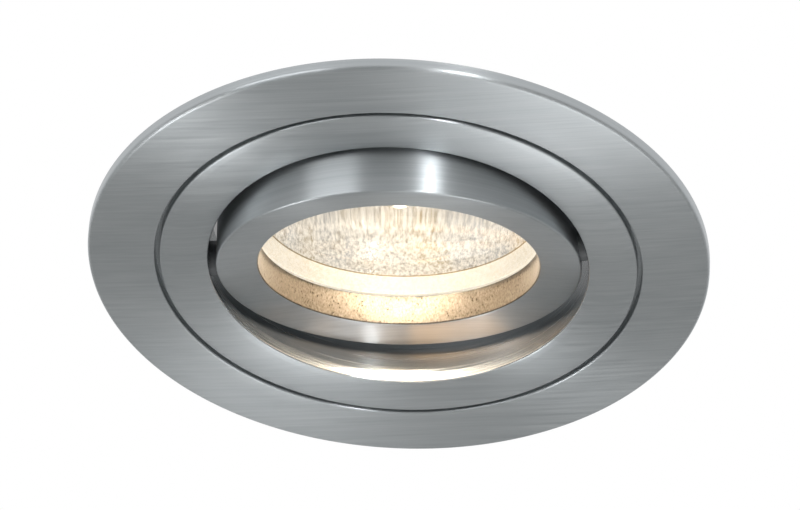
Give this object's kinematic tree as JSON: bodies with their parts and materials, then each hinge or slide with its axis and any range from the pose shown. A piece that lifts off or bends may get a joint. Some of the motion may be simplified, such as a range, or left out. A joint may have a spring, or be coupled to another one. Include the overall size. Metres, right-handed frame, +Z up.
{
  "type": "recessed tilting downlight",
  "caption": "Round recessed downlight: flat bezel, swivel ring turning in it, tilting gimbal ring holding a reflector lamp, spring clips and twist-lock lampholder.",
  "frame": {"origin": "middle of the face that seats on the ceiling, on the axis of the neck", "axes": "+Z up into the ceiling along the neck, X along the tilt axis, the light thrown down and towards +Y"},
  "size_m": [0.137, 0.098, 0.0767],
  "materials": {
    "brushed_aluminium": "brushed in straight lines, clear lacquered",
    "foam_rubber": "matte closed-cell foam",
    "blackened_steel": "phosphated and oiled",
    "zinc_plated_steel": "bright zinc plate",
    "spring_steel": "drawn wire and rolled strip, plain",
    "nylon": "natural nylon",
    "clear_glass": "clear pressed glass",
    "dichroic_reflector": "stippled facets with a warm dichroic coating",
    "steatite": "unglazed steatite",
    "quartz_glass": "clear quartz",
    "tungsten": "glowing filament",
    "nickel_wire": "drawn nickel wire",
    "contact_brass": "pressed strip",
    "sleeve_rubber": "soft dipped sleeve"
  },
  "bodies": {
    "housing": {"bezel": "brushed_aluminium", "ceiling_gasket": "foam_rubber", "swivel_stop_screw": "blackened_steel", "spring_bracket_left": "zinc_plated_steel", "spring_bracket_right": "zinc_plated_steel", "bracket_rivets": "zinc_plated_steel", "hinge_pin_left": "zinc_plated_steel", "hinge_pin_right": "zinc_plated_steel", "torsion_spring_left": "spring_steel", "torsion_spring_right": "spring_steel"},
    "swivel": {"swivel_ring": "brushed_aluminium", "wave_washer": "spring_steel", "circlip": "blackened_steel", "swivel_stop_pin": "spring_steel", "pivot_screws": "spring_steel", "friction_washers": "nylon"},
    "gimbal": {"gimbal_ring": "brushed_aluminium", "lamp_retaining_ring": "spring_steel", "lamp_front_glass": "clear_glass", "lamp_reflector": "dichroic_reflector", "lamp_base": "steatite", "lamp_pins": "zinc_plated_steel", "halogen_capsule": "quartz_glass", "filament": "tungsten", "lead_wires": "nickel_wire"},
    "lampholder": {"holder_body": "steatite", "holder_cover": "steatite", "holder_contacts": "contact_brass", "terminal_screws": "zinc_plated_steel", "cover_screws": "zinc_plated_steel"},
    "clip_left": {"clamp_arm_left": "spring_steel", "arm_sleeve_left": "sleeve_rubber"},
    "clip_right": {"clamp_arm_right": "spring_steel", "arm_sleeve_right": "sleeve_rubber"}
  },
  "joints": [
    {"name": "swivel_turn", "type": "hinge", "parent": "housing", "child": "swivel", "pos_m": [0, 0, 0.0012], "axis": [0, 0, 1], "range_deg": [-175, 175]},
    {"name": "gimbal_tilt", "type": "hinge", "parent": "swivel", "child": "gimbal", "pos_m": [0, 0, 0.0012], "axis": [1, 0, 0], "range_deg": [-43, 17]},
    {"name": "holder_twist", "type": "hinge", "parent": "gimbal", "child": "lampholder", "pos_m": [0, -0.01051, 0.0467], "axis": [0, -0.225, 0.9744], "range_deg": [0, 38]},
    {"name": "clip_left_fold", "type": "hinge", "parent": "housing", "child": "clip_left", "pos_m": [-0.0359, 0, 0.014], "axis": [0, 1, 0], "range_deg": [0, 111], "stiffness_Nm_per_rad": 0.06, "springref_deg": -45.84, "deforming": ["torsion_spring_left"]},
    {"name": "clip_right_fold", "type": "hinge", "parent": "housing", "child": "clip_right", "pos_m": [0.0359, 0, 0.014], "axis": [0, -1, 0], "range_deg": [0, 111], "stiffness_Nm_per_rad": 0.06, "springref_deg": -45.84, "deforming": ["torsion_spring_right"]}
  ]
}
